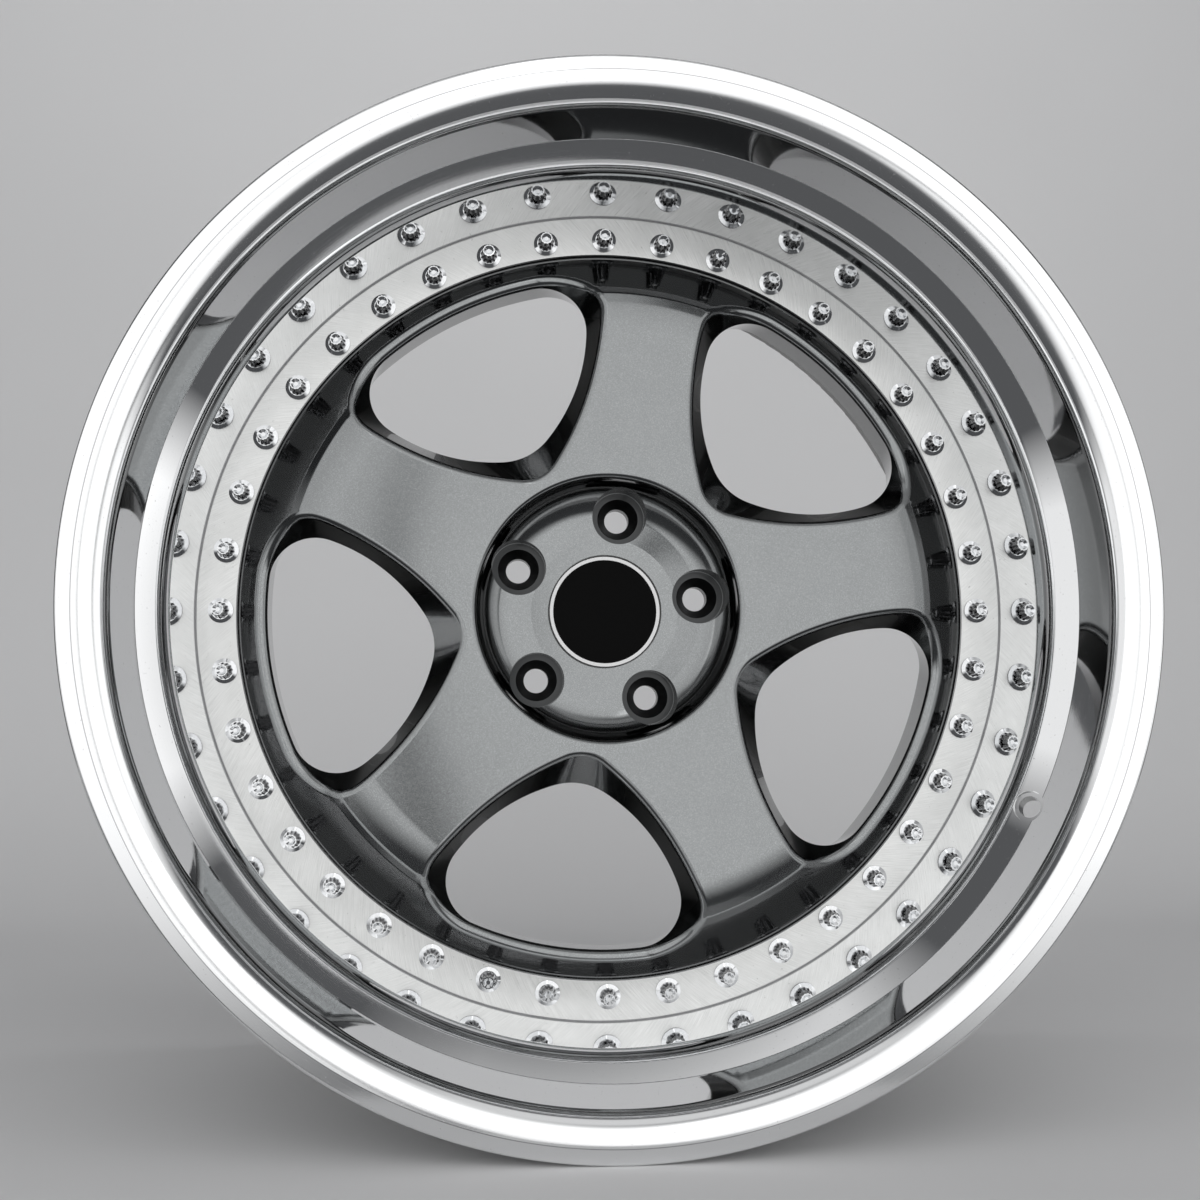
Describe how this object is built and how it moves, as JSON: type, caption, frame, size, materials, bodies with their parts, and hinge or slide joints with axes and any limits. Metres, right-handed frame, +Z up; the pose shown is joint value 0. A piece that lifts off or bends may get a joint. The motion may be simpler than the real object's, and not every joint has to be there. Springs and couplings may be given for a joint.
{
  "type": "split rim wheel",
  "caption": "Split rim wheel: a spoked centre disc bolted by a ring of assembly bolts between a polished stepped outer lip and an inner barrel, with a snap-in cap.",
  "frame": {"origin": "on the axle, midway between the outer faces of the two rim flanges", "axes": "+Y along the axle towards the car side, -Y the show side, +Z up"},
  "size_m": [0.5426, 0.292, 0.5426],
  "materials": {
    "polished_lip": "mirror polished",
    "barrel_aluminium": "plain turned",
    "gunmetal_paint": "gloss metallic",
    "bolt_chrome": "polished",
    "nut_steel": "zinc plated",
    "sealant_silicone": "matt",
    "cap_black": "gloss",
    "cap_white": "gloss",
    "plate_black": "satin",
    "spring_wire": "bright"
  },
  "bodies": {
    "root": {"outer_lip": "polished_lip", "inner_barrel": "barrel_aluminium", "centre_disc": "gunmetal_paint", "assembly_bolts": "bolt_chrome", "assembly_nuts": "nut_steel", "rim_sealant": "sealant_silicone", "cap_body": "cap_black", "cap_ring": "cap_white", "cap_plate": "plate_black", "cap_spring": "spring_wire"}
  },
  "joints": []
}
